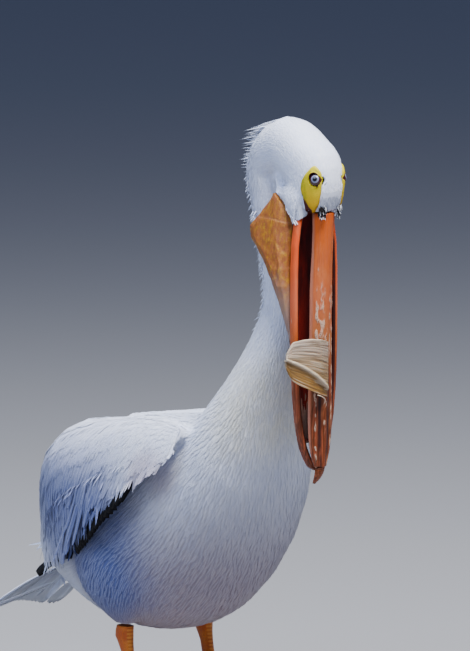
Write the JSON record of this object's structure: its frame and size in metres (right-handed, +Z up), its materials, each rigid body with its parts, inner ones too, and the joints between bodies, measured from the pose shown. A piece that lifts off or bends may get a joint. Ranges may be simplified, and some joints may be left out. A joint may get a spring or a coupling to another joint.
{
  "type": "american white pelican",
  "caption": "Life-size still model of an American white pelican in breeding dress, standing with its bill held down against its neck.",
  "frame": {"origin": "middle of the bird's bounding box, on the ground under its feet", "axes": "+Z up, -Y the way the bird faces, +X to the bird's left"},
  "size_m": [0.2712, 0.6444, 0.7583],
  "materials": {
    "plumage": "soft white contour feathers, faintly blue in shade, pale yellow on the breast",
    "quills": "black flight feathers, semi-matte",
    "bill_horn": "orange at the base, salmon to tan-brown towards the tip, with a waxy sheen",
    "mandible": "orange-red horn, browner at the tip",
    "pouch_skin": "wrinkled ochre-orange skin",
    "nuptial_plate": "fibrous beige plate, frayed at the edge",
    "eye": "wet, pale blue-grey iris with a dark pupil",
    "leg_skin": "orange scaly skin"
  },
  "bodies": {
    "root": {"trunk": "plumage", "neck_lower": "plumage", "neck_middle": "plumage", "neck_upper": "plumage", "head": "plumage", "crest": "plumage", "wing_left": "plumage", "wing_right": "plumage", "tail": "plumage", "thigh_left": "plumage", "thigh_right": "plumage", "secondaries_left": "quills", "secondaries_right": "quills", "primaries_left": "quills", "primaries_right": "quills", "upper_mandible": "bill_horn", "bill_nail": "bill_horn", "lower_mandible": "mandible", "pouch": "pouch_skin", "bill_horn": "nuptial_plate", "eye_left": "eye", "eye_right": "eye", "tarsus_left": "leg_skin", "tarsus_right": "leg_skin", "foot_left": "leg_skin", "foot_right": "leg_skin"}
  },
  "joints": []
}
